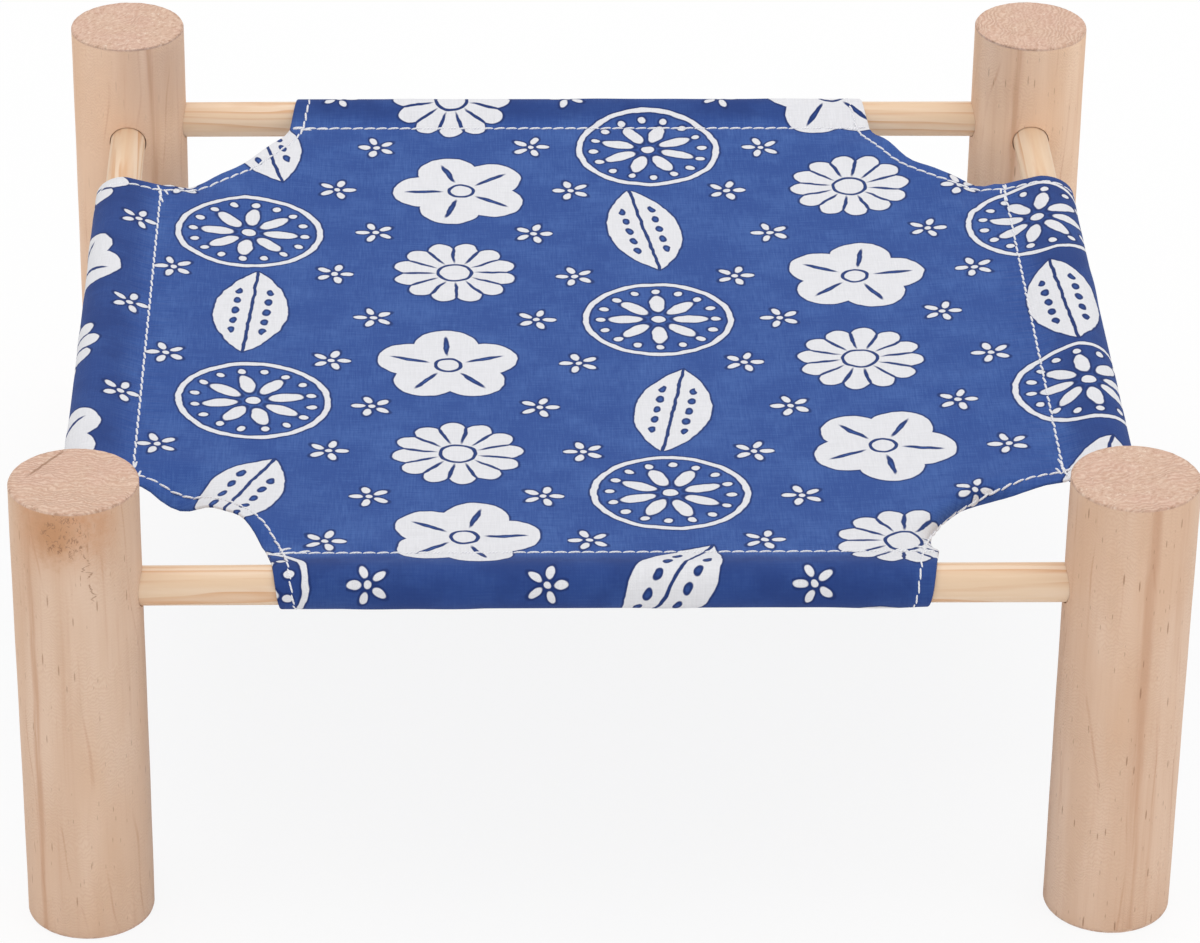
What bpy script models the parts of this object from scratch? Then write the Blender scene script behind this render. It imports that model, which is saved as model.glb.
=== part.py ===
"""A small animal's hammock bed: four sawn posts, four push-fit rails and a sewn cotton sling.

Metres, +Z up. The origin is on the floor at the middle of the bed, +X points to the right of
someone who stands in front of it, and +Y points to its rear.
"""

from math import acos, atan2, cos, hypot, pi, radians, sin

import bmesh
import bpy
from mathutils import Matrix

# Frame
POST_SPACING = 0.260
POST_DIAMETER = 0.032
POST_HEIGHT = 0.125
POST_EASED_EDGE = 0.0006
POST_SIDES = 64
RAIL_DIAMETER = 0.010
RAIL_HEIGHT = 0.095
RAIL_EASED_EDGE = 0.0005
RAIL_SIDES = 40
FIT_GAP = 0.0003
SOCKET_FLOOR = 0.0062

# Sling
CLOTH = 0.0007
SEAM_INSET = 0.011
SEAM_RISE = 0.0022
SEAM_MARGIN = 0.0025
SLEEVE_RADIUS = 0.0055
SLEEVE_DROP = 0.0001
SLEEVE_SLACK = 0.0005
SLEEVE_MOUTH = 0.0003
SLEEVE_ARC_POINTS = 28
CUT_OUT_RADIUS = 0.048
CUT_OUT_SIDES = 96
HEM_WIDTH = 0.005
HEM_STEP = 0.0004
HEM_SLOPE = 0.0006
SAG = 0.0040
PANEL_CELLS = 26

# Worked out from the sizes above
CORNER = POST_SPACING / 2
SOCKET_RADIUS = RAIL_DIAMETER / 2 + FIT_GAP
RAIL_LENGTH = POST_SPACING - 2 * (SOCKET_FLOOR + FIT_GAP)
SLEEVE_HALF_LENGTH = CORNER - CUT_OUT_RADIUS
PANEL_HALF = CORNER - SEAM_INSET - SEAM_MARGIN - FIT_GAP
PANEL_TOP = RAIL_HEIGHT + SEAM_RISE + CLOTH

CORNERS = {
    "front_left": (-1, -1),
    "front_right": (1, -1),
    "rear_left": (-1, 1),
    "rear_right": (1, 1),
}
# Each side's outward direction, and how far its rail and sleeve are turned from the front ones
SIDES = {
    "front": (0, -1, 0),
    "right": (1, 0, 90),
    "rear": (0, 1, 180),
    "left": (-1, 0, 270),
}


def clear_scene():
    for thing in list(bpy.data.objects):
        bpy.data.objects.remove(thing)


def finish_material(name, colour, roughness):
    """A plain surface in the piece's own colour. Wood and cotton have no metallic part."""
    material = bpy.data.materials.new(name)
    material.use_nodes = True
    shader = material.node_tree.nodes["Principled BSDF"]
    shader.inputs["Base Color"].default_value = (*colour, 1)
    shader.inputs["Roughness"].default_value = roughness
    shader.inputs["Metallic"].default_value = 0
    return material


def add_object(name, bm, material, parent=None, location=(0, 0, 0), turn=0, smooth_below=35):
    """Turns a bmesh into an object, placed under its parent and turned about the vertical."""
    bm.normal_update()
    bmesh.ops.recalc_face_normals(bm, faces=bm.faces)
    mesh = bpy.data.meshes.new(name)
    bm.to_mesh(mesh)
    bm.free()
    mesh.shade_smooth()
    mesh.set_sharp_from_angle(angle=radians(smooth_below))
    thing = bpy.data.objects.new(name, mesh)
    thing.location = location
    thing.rotation_euler.z = radians(turn)
    thing.parent = parent
    if material:
        mesh.materials.append(material)
    bpy.context.scene.collection.objects.link(thing)
    return thing


def hide_cutter(thing):
    thing.hide_render = True
    thing.display_type = "WIRE"


def boolean(thing, name, operation, other):
    modifier = thing.modifiers.new(name, "BOOLEAN")
    modifier.operation = operation
    modifier.solver = "EXACT"
    modifier.object = other


def ease_edges(thing, width, segments):
    """Sandpaper's touch on the sharp end rims."""
    bevel = thing.modifiers.new("eased_edges", "BEVEL")
    bevel.width = width
    bevel.segments = segments
    bevel.limit_method = "ANGLE"
    bevel.angle_limit = radians(40)


def add_cylinder(bm, radius, bottom, top, sides, x=0.0, y=0.0):
    """A closed upright cylinder that stands at (x, y)."""
    rim = bmesh.ops.create_circle(bm, cap_ends=True, segments=sides, radius=radius)["verts"]
    bmesh.ops.translate(bm, verts=rim, vec=(x, y, bottom))
    cap = rim[0].link_faces[0]
    swept = bmesh.ops.extrude_face_region(bm, geom=[cap])["geom"]
    raised = [part for part in swept if isinstance(part, bmesh.types.BMVert)]
    bmesh.ops.translate(bm, verts=raised, vec=(0, 0, top - bottom))


def lay_along_x(bm):
    """Lays upright geometry down, so that its top points along +X."""
    quarter_turn = Matrix.Rotation(radians(90), 3, "Y")
    bmesh.ops.rotate(bm, verts=bm.verts, cent=(0, 0, 0), matrix=quarter_turn)


def make_socket_cutter(name, leg, toward):
    """A drill's path from the post's skin to the socket floor, along +X turned by the given degrees."""
    bm = bmesh.new()
    add_cylinder(bm, SOCKET_RADIUS, SOCKET_FLOOR, POST_DIAMETER, RAIL_SIDES)
    lay_along_x(bm)
    cutter = add_object(name, bm, None, leg, (0, 0, RAIL_HEIGHT), toward)
    hide_cutter(cutter)
    return cutter


def make_leg(corner, x_sign, y_sign, material, frame):
    """A sawn post with two blind sockets at right angles, which stop short of each other."""
    bm = bmesh.new()
    add_cylinder(bm, POST_DIAMETER / 2, 0, POST_HEIGHT, POST_SIDES)
    name = "leg_" + corner
    leg = add_object(name, bm, material, frame, (x_sign * CORNER, y_sign * CORNER, 0))
    ease_edges(leg, POST_EASED_EDGE, 2)
    across = make_socket_cutter(name + "_socket_x", leg, 0 if x_sign < 0 else 180)
    along = make_socket_cutter(name + "_socket_y", leg, 90 if y_sign < 0 else 270)
    boolean(leg, "socket_x", "DIFFERENCE", across)
    boolean(leg, "socket_y", "DIFFERENCE", along)


def make_rail(side, out_x, out_y, turn, material, frame):
    """A round stick whose ends sit just clear of the socket floors."""
    bm = bmesh.new()
    add_cylinder(bm, RAIL_DIAMETER / 2, -RAIL_LENGTH / 2, RAIL_LENGTH / 2, RAIL_SIDES)
    lay_along_x(bm)
    place = (out_x * CORNER, out_y * CORNER, RAIL_HEIGHT)
    rail = add_object("rail_" + side, bm, material, frame, place, turn)
    ease_edges(rail, RAIL_EASED_EDGE, 2)


def loop_round_rail(radius):
    """The part of a sleeve's section that wraps the rail, from its upper to its lower tangent point.

    The section lies in the plane across the rail: the first value points toward the bed's middle
    and the second one up, both from the rail's axis.
    """
    centre = (-SLEEVE_SLACK, -SLEEVE_DROP)
    to_seam = (SEAM_INSET - centre[0], SEAM_RISE - centre[1])
    seam_angle = atan2(to_seam[1], to_seam[0])
    tangent = acos(SLEEVE_RADIUS / hypot(*to_seam))
    sweep = 2 * (pi - tangent)
    points = []
    for step in range(SLEEVE_ARC_POINTS):
        angle = seam_angle + tangent + sweep * step / (SLEEVE_ARC_POINTS - 1)
        points.append((centre[0] + radius * cos(angle), centre[1] + radius * sin(angle)))
    return points


def sleeve_section(extra):
    """(outer, inner) outlines of a teardrop sleeve, with as many points in each.

    The loop closes at the seam, where both layers lie together as a flat margin. The extra
    thickness is that of the hem turned over at the sleeve's mouths.
    """
    thickness = CLOTH + extra
    margin_end = SEAM_INSET + SEAM_MARGIN
    outer = loop_round_rail(SLEEVE_RADIUS + thickness)
    outer += [
        (SEAM_INSET, SEAM_RISE - thickness),
        (margin_end, SEAM_RISE - CLOTH),
        (margin_end, SEAM_RISE + CLOTH),
        (SEAM_INSET, SEAM_RISE + thickness),
    ]
    arc = loop_round_rail(SLEEVE_RADIUS)
    throat = SEAM_INSET - CLOTH
    lower_flank = (arc[-1][0] + throat) / 2, (arc[-1][1] + SEAM_RISE) / 2
    upper_flank = (arc[0][0] + throat) / 2, (arc[0][1] + SEAM_RISE) / 2
    inner = arc + [
        lower_flank,
        (throat, SEAM_RISE - SLEEVE_MOUTH / 2),
        (throat, SEAM_RISE + SLEEVE_MOUTH / 2),
        upper_flank,
    ]
    return outer, inner


def ring_of_edges(bm, outline, along):
    """A closed outline at one station along the rail, as vertices in order."""
    return [bm.verts.new((along, inward, up)) for inward, up in outline]


def skin_between(bm, ring, other):
    """Quads from each ring's vertices to the next ring's."""
    for here in range(len(ring)):
        after = (here + 1) % len(ring)
        bm.faces.new((ring[here], ring[after], other[after], other[here]))


def make_sleeve(side, out_x, out_y, turn, material, frame):
    """One casing of the sling: a lofted teardrop tube with a thicker hem at both mouths."""
    half = SLEEVE_HALF_LENGTH
    inside = half - HEM_WIDTH
    stations = [
        (-half, HEM_STEP),
        (-inside, HEM_STEP),
        (-inside + HEM_SLOPE, 0),
        (inside - HEM_SLOPE, 0),
        (inside, HEM_STEP),
        (half, HEM_STEP),
    ]
    bm = bmesh.new()
    outers = []
    inners = []
    for along, extra in stations:
        outer, inner = sleeve_section(extra)
        outers.append(ring_of_edges(bm, outer, along))
        inners.append(ring_of_edges(bm, inner, along))
    for rings in (outers, inners):
        for ring, following in zip(rings, rings[1:]):
            skin_between(bm, ring, following)
    skin_between(bm, outers[0], inners[0])
    skin_between(bm, outers[-1], inners[-1])
    place = (out_x * CORNER, out_y * CORNER, RAIL_HEIGHT)
    add_object("sleeve_" + side, bm, material, frame, place, turn)


def sag_at(x, y):
    """How far the taut panel hangs below its seams."""
    return SAG * (1 - (x / PANEL_HALF) ** 2) * (1 - (y / PANEL_HALF) ** 2)


def sagging_sheet(name, half, top, thickness, material, frame):
    """A square of cloth with its upper face sagging from the given height."""
    bm = bmesh.new()
    bmesh.ops.create_grid(bm, x_segments=PANEL_CELLS, y_segments=PANEL_CELLS, size=half)
    for vert in bm.verts:
        vert.co.z = top - sag_at(vert.co.x, vert.co.y)
    sheet = add_object(name, bm, material, frame)
    solidify = sheet.modifiers.new("cloth_thickness", "SOLIDIFY")
    solidify.thickness = thickness
    solidify.offset = -1
    return sheet


def corner_discs(name, radius, frame):
    """Four upright discs about the posts' axes, as one cutter."""
    bm = bmesh.new()
    for x_sign, y_sign in CORNERS.values():
        add_cylinder(
            bm, radius, RAIL_HEIGHT / 2, POST_HEIGHT, CUT_OUT_SIDES, x_sign * CORNER, y_sign * CORNER
        )
    discs = add_object(name, bm, None, frame)
    hide_cutter(discs)
    return discs


def make_panel(material, frame):
    """The sling's bed, with a turned hem under the rim of each round corner cut-out."""
    panel = sagging_sheet("sling_panel", PANEL_HALF, PANEL_TOP, CLOTH, material, frame)
    fold_top = PANEL_TOP - CLOTH / 2
    fold = sagging_sheet("hem_fold", PANEL_HALF - FIT_GAP, fold_top, CLOTH, None, frame)
    hide_cutter(fold)
    hem_discs = corner_discs("hem_outline", CUT_OUT_RADIUS + HEM_WIDTH, frame)
    boolean(fold, "hem_width", "INTERSECT", hem_discs)
    boolean(panel, "turned_hem", "UNION", fold)
    cut_outs = corner_discs("corner_cut_outs", CUT_OUT_RADIUS, frame)
    boolean(panel, "corner_cut_outs", "DIFFERENCE", cut_outs)


def make_bed():
    clear_scene()
    hardwood = finish_material("sawn_hardwood", (0.62, 0.42, 0.30), 0.62)
    softwood = finish_material("rail_softwood", (0.74, 0.53, 0.34), 0.50)
    cotton = finish_material("indigo_cotton", (0.025, 0.083, 0.30), 0.90)
    frame = bpy.data.objects.new("bed", None)
    bpy.context.scene.collection.objects.link(frame)
    for corner, (x_sign, y_sign) in CORNERS.items():
        make_leg(corner, x_sign, y_sign, hardwood, frame)
    for side, (out_x, out_y, turn) in SIDES.items():
        make_rail(side, out_x, out_y, turn, softwood, frame)
        make_sleeve(side, out_x, out_y, turn, cotton, frame)
    make_panel(cotton, frame)


make_bed()
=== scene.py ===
# %% [markdown]
# A hammock bed for a small animal: four sawn posts, four round rails pushed into them, and a
# printed cotton sling sewn round the rails. This lesson dresses the bed's plain solid model.
# The model is loaded first and never changed, so that every size below can be read from it.

# %% Load the solid model
from math import acos, asin, atan2, cos, floor, hypot, pi, radians, sin, sqrt

import bmesh
import bpy
from mathutils import Matrix, Vector
from mathutils.bvhtree import BVHTree
from mathutils.geometry import barycentric_transform, delaunay_2d_cdt


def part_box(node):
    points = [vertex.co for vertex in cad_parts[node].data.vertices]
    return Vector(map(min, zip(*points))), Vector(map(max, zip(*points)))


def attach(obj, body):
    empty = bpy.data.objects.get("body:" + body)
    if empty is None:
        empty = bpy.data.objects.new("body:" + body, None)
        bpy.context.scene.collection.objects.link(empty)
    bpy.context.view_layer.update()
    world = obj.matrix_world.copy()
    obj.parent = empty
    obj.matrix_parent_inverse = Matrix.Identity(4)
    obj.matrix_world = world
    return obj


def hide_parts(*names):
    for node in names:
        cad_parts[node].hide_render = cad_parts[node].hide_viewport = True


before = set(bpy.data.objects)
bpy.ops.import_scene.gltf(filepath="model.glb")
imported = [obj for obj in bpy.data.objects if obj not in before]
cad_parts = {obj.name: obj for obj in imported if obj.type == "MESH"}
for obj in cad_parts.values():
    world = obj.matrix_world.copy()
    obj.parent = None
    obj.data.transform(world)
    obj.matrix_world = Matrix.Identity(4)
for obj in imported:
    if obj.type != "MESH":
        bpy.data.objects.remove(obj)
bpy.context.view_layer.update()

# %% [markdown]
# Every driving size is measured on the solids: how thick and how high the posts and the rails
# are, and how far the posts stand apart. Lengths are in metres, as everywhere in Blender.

MM = 0.001
post_low, post_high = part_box("leg_front_right")
rail_low, rail_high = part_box("rail_front")
post_radius = (post_high.x - post_low.x) / 2
post_height = post_high.z
corner = (post_high.x + post_low.x) / 2
rail_radius = (rail_high.z - rail_low.z) / 2
rail_height = (rail_high.z + rail_low.z) / 2
rail_half = rail_high.x
print(f"posts {2000 * post_radius:.0f} mm across and {1000 * post_height:.0f} mm high,"
      f" {2000 * corner:.0f} mm apart; rails {2000 * rail_radius:.0f} mm across")

# %% [markdown]
# The camera stands in front of the bed and looks down on it through a long lens, which keeps
# the far posts nearly as large as the near ones. Its three axes are worked out from the
# direction that it looks in, and then set as the columns of its matrix.

# %% Place the camera
PHOTO_WIDTH = 1200
FOCAL_PIXELS = 5219.0
SENSOR_WIDTH = 36
CAMERA_PLACE = Vector((-0.04039, -1.23311, 0.7647))
LOOKS_DOWN = 0.52384
TURNED_RIGHT = 0.03514
ROLLED = 0.01457

forward = Vector((sin(TURNED_RIGHT) * cos(LOOKS_DOWN), cos(TURNED_RIGHT) * cos(LOOKS_DOWN), -sin(LOOKS_DOWN)))
level_right = forward.cross(Vector((0, 0, 1))).normalized()
level_up = level_right.cross(forward)
right = cos(ROLLED) * level_right + sin(ROLLED) * level_up
up = cos(ROLLED) * level_up - sin(ROLLED) * level_right
camera = bpy.data.objects.new("camera", bpy.data.cameras.new("camera"))
camera.matrix_world = Matrix.Translation(CAMERA_PLACE) @ Matrix((right, up, -forward)).transposed().to_4x4()
camera.data.sensor_width = SENSOR_WIDTH
camera.data.lens = SENSOR_WIDTH * FOCAL_PIXELS / PHOTO_WIDTH
camera.data.clip_start = 0.05
bpy.context.scene.collection.objects.link(camera)
bpy.context.scene.camera = camera
print(f"a {camera.data.lens:.0f} mm lens, {CAMERA_PLACE.length:.2f} m from the middle of the bed")

# %% [markdown]
# Shader maths is easier to read as sums than as boxes and wires. A Socket stands for one
# node's output, and each operator adds the Math node that works it out. A Finish is a material
# being made, with one method that adds any other node.

# %% Write shader maths as sums
class Socket:
    """An output of a node. Sums with it add Math nodes to its finish."""

    def __init__(self, finish, output):
        self.finish = finish
        self.output = output

    def math(self, operation, *others, clamp=False):
        return self.finish.node("Math", {"operation": operation, "use_clamp": clamp}, (self, *others))

    def __add__(self, other):
        return self.math("ADD", other)

    def __sub__(self, other):
        return self.math("SUBTRACT", other)

    def __rsub__(self, other):
        return self.finish.node("Math", {"operation": "SUBTRACT"}, (other, self))

    def __mul__(self, other):
        return self.math("MULTIPLY", other)

    def __truediv__(self, other):
        return self.math("DIVIDE", other)

    __radd__ = __add__
    __rmul__ = __mul__


class Finish:
    """A material in the making, with one way to add a node."""

    def __init__(self, name):
        self.material = bpy.data.materials.new(name)
        self.material.use_nodes = True
        self.tree = self.material.node_tree
        self.shader = self.tree.nodes["Principled BSDF"]

    def node(self, kind, settings, values, output=0):
        """Adds a node, sets what it does, fills its sockets, and returns one of its outputs."""
        made = self.tree.nodes.new("ShaderNode" + kind)
        for name, setting in settings.items():
            if name == "stops":
                self.set_stops(made.color_ramp, setting)
            else:
                setattr(made, name, setting)
        pairs = values.items() if isinstance(values, dict) else enumerate(values)
        for key, value in pairs:
            self.join(value, made.inputs[key])
        return Socket(self, made.outputs[output])

    def set_stops(self, ramp, stops):
        while len(ramp.elements) < len(stops):
            ramp.elements.new(1)
        for element, (place, colour) in zip(ramp.elements, stops):
            element.position = place
            element.color = (*colour, 1)

    def join(self, value, socket):
        if isinstance(value, Socket):
            self.tree.links.new(value.output, socket)
        else:
            socket.default_value = value

    def blend(self, factor, first, second, mode="MIX"):
        """Mixes two colours, each a colour or a link."""
        colours = [c if isinstance(c, Socket) else (*c, 1) for c in (first, second)]
        settings = {"data_type": "RGBA", "blend_type": mode, "clamp_factor": True}
        return self.node("Mix", settings, {0: factor, 6: colours[0], 7: colours[1]}, 2)

    def noise(self, vector, scale, detail=2.0, roughness=0.5, distortion=0.0, output=0):
        values = {"Vector": vector, "Scale": scale, "Detail": detail}
        values |= {"Roughness": roughness, "Distortion": distortion}
        return self.node("TexNoise", {}, values, output)

    def stretch(self, vector, scale, shift=(0, 0, 0), turn=(0, 0, 0)):
        """Moves, turns and stretches a pattern's coordinates."""
        values = {"Vector": vector, "Location": shift, "Rotation": turn, "Scale": scale}
        return self.node("Mapping", {}, values)

    def vectors(self, operation, *values):
        """Maths on whole coordinates."""
        return self.node("VectorMath", {"operation": operation}, values)

    def split(self, vector):
        """The three numbers of a vector."""
        parts = self.node("SeparateXYZ", {}, {"Vector": vector})
        outputs = parts.output.node.outputs
        return tuple(Socket(self, output) for output in outputs)

    def fade(self, value, start, end):
        """0 where the value is at the start, 1 at the end, and smooth between them."""
        settings = {"interpolation_type": "SMOOTHSTEP"}
        return self.node("MapRange", settings, {"Value": value, "From Min": start, "From Max": end})

    def grain(self, vector, scale, detail=2.0, roughness=0.5, distortion=0.0):
        """Noise on coordinates that are stretched first, which draws it out along one of them."""
        return self.noise(self.stretch(vector, scale), 1.0, detail, roughness, distortion)

    def patches(self, vector, scale, start, end, detail=2.0, roughness=0.5):
        """Such noise, faded into patches with plain surface between them."""
        return self.fade(self.grain(vector, scale, detail, roughness), start, end)

    def coat(self, colour, height, strength, plain):
        """Gives the surface its colour, its bumps, and what is the same all over it."""
        self.join(colour, self.shader.inputs["Base Color"])
        bump = self.node("Bump", {}, {"Height": height, "Strength": strength, "Distance": MM})
        self.join(bump, self.shader.inputs["Normal"])
        self.constants(plain)

    def constants(self, values):
        """Sets what is the same all over a surface on the shader's own sockets."""
        for name, value in values.items():
            self.shader.inputs[name].default_value = value

    def wear(self, piece):
        """Puts this finish on all of a piece."""
        piece.data.materials.clear()
        piece.data.materials.append(self.material)


print("finishes can now be written as sums")

# %% [markdown]
# The bed stands on a plain white floor in soft light. The floor is mostly shown as plain white
# to the camera, by the Is Camera Ray output of a Light Path node, so that it is white with no
# strong lamp on the bed, and a share of its own shading keeps the bed's faint shadow.

# %% Lay the floor
FLOOR_SIZE = 8.0
FLOOR_WHITE = (0.92, 0.92, 0.92)
FLOOR_SHOWN_WHITE = 0.87
FLOOR_GAP = 0.1 * MM

bpy.ops.mesh.primitive_plane_add(size=FLOOR_SIZE, location=(0, 0, -FLOOR_GAP))
floor_piece = bpy.context.object
floor_piece.name = "floor"
floor_finish = Finish("studio floor")
floor_finish.constants({"Base Color": (*FLOOR_WHITE, 1), "Roughness": 1.0, "Specular IOR Level": 0.0})
plain_white = floor_finish.node("Emission", {}, {"Color": (1, 1, 1, 1), "Strength": 1.0})
is_camera = floor_finish.node("LightPath", {}, {}, "Is Camera Ray")
shaded = Socket(floor_finish, floor_finish.shader.outputs[0])
floor_look = floor_finish.node("MixShader", {}, (is_camera * FLOOR_SHOWN_WHITE, shaded, plain_white))
floor_finish.join(floor_look, floor_finish.tree.nodes["Material Output"].inputs["Surface"])
floor_finish.wear(floor_piece)
print(f"a floor {FLOOR_SIZE:.0f} m wide, {1000 * FLOOR_GAP:.1f} mm under the posts")

# %% [markdown]
# The light is that of a white studio tent: an even world and four large, weak lamps, so that no
# shadow has an edge. Each lamp is written as its place, its width and its power. Light Path lets
# the camera see the world as plain white, while the bed is lit by a dimmer one that leaves the
# wood its colour.

# %% Light the bed
WORLD_LEVEL = 0.61
LIT_SPOT = Vector((0, 0, 0.05))
LAMPS = {
    "overhead": ((0.1, 0.5, 2.1), 2.4, 25.0),
    "left": ((-2.2, -1.3, 0.8), 1.6, 6.2),
    "right": ((2.2, -1.3, 1.0), 1.6, 6.4),
    "front": ((0.0, -4.0, 1.5), 3.0, 18.0),
}
world = bpy.data.worlds.new("studio")
world.use_nodes = True
world_tree = world.node_tree
backdrop = world_tree.nodes["Background"]
backdrop.inputs["Color"].default_value = (1, 1, 1, 1)
light_path = world_tree.nodes.new("ShaderNodeLightPath")
level = world_tree.nodes.new("ShaderNodeMapRange")
level.inputs["To Min"].default_value = WORLD_LEVEL
level.inputs["To Max"].default_value = 1.0
world_tree.links.new(light_path.outputs["Is Camera Ray"], level.inputs["Value"])
world_tree.links.new(level.outputs[0], backdrop.inputs["Strength"])
bpy.context.scene.world = world
for lamp_name, (place, size, power) in LAMPS.items():
    bpy.ops.object.light_add(type="AREA", location=place)
    lamp = bpy.context.object
    lamp.name = lamp_name
    lamp.data.size = size
    lamp.data.energy = power
    lamp.rotation_euler = (LIT_SPOT - Vector(place)).to_track_quat("-Z", "Y").to_euler()
bpy.context.scene.view_settings.view_transform = "Standard"
print(f"{len(LAMPS)} soft lamps")

# %% [markdown]
# The sling is one square of cotton with a round bite out of each corner. Each edge between
# two bites folds down round a rail and is sewn back to the cloth along a seam. The flat panel
# inside the seams is made first: its outline is four straight seam lines joined by four arcs
# about the posts. One quarter of it is worked out, and turned for the others.

# %% Draw the panel's outline
SEAM_INSET = 11.0 * MM
SEAM_RISE = 2.2 * MM
CUT_RADIUS = 48.0 * MM
WEAVE_STEP = 2.6 * MM
RIM_CLEARANCE = 0.62 * WEAVE_STEP
SAME_POINT = 1e-7

seam = corner - SEAM_INSET
seam_height = rail_height + SEAM_RISE
seam_angle = asin(SEAM_INSET / CUT_RADIUS)


def line_half(radius):
    """Half of the length of a seam line between two arcs of a radius about the posts."""
    return corner - sqrt(radius**2 - SEAM_INSET**2)


def arc_about_post(radius, steps):
    """The points of an arc about the far right post, from the right seam line to the far one."""
    first = asin(SEAM_INSET / radius)
    angles = [pi / 2 - first - (pi / 2 - 2 * first) * step / steps for step in range(steps + 1)]
    return [(corner - radius * cos(angle), corner - radius * sin(angle)) for angle in angles]


seam_half = line_half(CUT_RADIUS)
seam_steps = round(2 * seam_half / WEAVE_STEP)
arc_steps = round((pi / 2 - 2 * seam_angle) * CUT_RADIUS / WEAVE_STEP)


def quarter_outline():
    """The arc about the far right post, and after it the far seam line from right to left."""
    points = arc_about_post(CUT_RADIUS, arc_steps)[:-1]
    for step in range(seam_steps):
        points.append((seam_half - 2 * seam_half * step / seam_steps, seam))
    return points


def turned(points, quarters):
    """The points after so many quarter turns to the left."""
    for _ in range(quarters):
        points = [(-y, x) for x, y in points]
    return points


outline = [point for turn in range(4) for point in turned(quarter_outline(), turn)]
outline_edges = [(here, (here + 1) % len(outline)) for here in range(len(outline))]
print(f"the outline has {len(outline)} points, and each seam is {2000 * seam_half:.0f} mm long")

# %% [markdown]
# A Delaunay triangulation fills the outline with even triangles, which drape better than a
# grid that is squeezed into the round corners. Each point also keeps its place on the flat
# cloth as an attribute, which the folds, the print and the stitches will all go by. Points too
# near the outline are left out, so that no triangle there is a sliver.

# %% Cut the panel
def inside_rim(x, y):
    """How far a point lies inside the round rim of its corner."""
    return hypot(corner - abs(x), corner - abs(y)) - CUT_RADIUS


def inside_seams(x, y):
    """How far a point lies inside the nearest seam."""
    return min(seam - abs(x), seam - abs(y))


row_height = WEAVE_STEP * sqrt(3) / 2
lattice = []
for row in range(-floor(seam / row_height), floor(seam / row_height) + 1):
    shift = WEAVE_STEP / 2 * (row % 2)
    for column in range(-floor(seam / WEAVE_STEP) - 1, floor(seam / WEAVE_STEP) + 1):
        x, y = column * WEAVE_STEP + shift, row * row_height
        if min(inside_rim(x, y), inside_seams(x, y)) > RIM_CLEARANCE:
            lattice.append((x, y))
cut_points = [Vector(point) for point in outline + lattice]
verts, edges, faces, *_ = delaunay_2d_cdt(cut_points, outline_edges, [], 1, SAME_POINT)
panel_mesh = bpy.data.meshes.new("sling")
panel_mesh.from_pydata([(x, y, seam_height) for x, y in verts], [], faces)
sling = bpy.data.objects.new("sling", panel_mesh)
bpy.context.scene.collection.objects.link(sling)
flat = panel_mesh.attributes.new("flat", "FLOAT_VECTOR", "POINT")
for vert in panel_mesh.vertices:
    flat.data[vert.index].vector = (vert.co.x, vert.co.y, 0)
print(f"the panel has {len(faces)} triangles")

# %% [markdown]
# Cotton that is hemmed on a curve always ends up a little longer than the cloth beside it. So
# each corner bite starts with that spare length as soft waves, written as their place along
# the hem, their width and their height in millimetres. The hem in CURLED has rolled under, as
# a strip of cloth does that is pulled along its edge.

# %% Wave the hems
ON_SEAM = 0.1 * MM
WAVE_REACH = 20 * MM
HEM_WAVES = {
    (-1, -1): [(0.24, 0.15, -5.0), (0.68, 0.14, 2.0), (0.92, 0.08, -0.8)],
    (1, -1): [(0.30, 0.30, 0.8), (0.75, 0.20, -0.8)],
    (-1, 1): [(0.16, 0.14, -2.2), (0.70, 0.18, 1.6)],
    (1, 1): [(0.12, 0.12, -2.0), (0.42, 0.12, 0.6), (0.76, 0.14, 2.0)],
}
HEM_HOLD = 0.35
HOLD_REACH = 7 * MM
CURLED = (1, -1)
CURL_RADIUS = 2.9 * MM
CURL_LENGTH = 8.8 * MM
CURL_SKEW = 1.35
CURL_FULLNESS = 0.8
SEAM_HOLD = 7


def limited(value):
    """The value, held between 0 and 1."""
    return max(0.0, min(1.0, value))


def eased(value):
    """The same, but with a soft start and a soft end."""
    value = limited(value)
    return value * (value * (3 - 2 * value))


def hem_start(x, y):
    """Where a point of the panel starts: lifted where its hem waves, rolled under where it curls."""
    side = (1 if x > 0 else -1, 1 if y > 0 else -1)
    across, ahead = corner - abs(x), corner - abs(y)
    rim = inside_rim(x, y)
    share = (atan2(across, ahead) - seam_angle) / (pi / 2 - 2 * seam_angle)
    at_seams = eased(SEAM_HOLD * min(share, 1 - share))
    lift = 0.0
    for place, width, height in HEM_WAVES[side]:
        lift += height * MM * max(0.0, 1 - ((share - place) / width) ** 2 / 4) ** 4
    lift *= max(0.0, 1 - rim / WAVE_REACH) ** 2 * at_seams
    inwards = 0.0
    if side == CURLED and rim < CURL_LENGTH:
        fullness = sin(pi * limited(share) ** CURL_SKEW) ** CURL_FULLNESS
        rolled = (CURL_LENGTH - rim) * fullness
        inwards = rolled - CURL_RADIUS * sin(rolled / CURL_RADIUS)
        lift -= CURL_RADIUS * (1 - cos(rolled / CURL_RADIUS))
    out = inwards / hypot(across, ahead)
    return Vector((x - side[0] * across * out, y - side[1] * ahead * out, seam_height + lift))


pinned = sling.vertex_groups.new(name="sewn")
for vert in panel_mesh.vertices:
    x, y = vert.co.x, vert.co.y
    if inside_seams(x, y) < ON_SEAM:
        pinned.add([vert.index], 1.0, "REPLACE")
    else:
        pinned.add([vert.index], HEM_HOLD * max(0.0, 1 - inside_rim(x, y) / HOLD_REACH), "REPLACE")
        vert.co = hem_start(x, y)
print(f"the hems start up to {1000 * (max(v.co.z for v in panel_mesh.vertices) - seam_height):.1f} mm high")

# %% [markdown]
# Blender's Cloth then gives the panel its slight sag. The seams are pinned, because they are
# sewn tight round the rails, and the double cloth of the hems half holds their waves. A little
# slack, as a negative shrink, lets the middle sink. The drape is applied, so that the later
# folds can be built on it.

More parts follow.
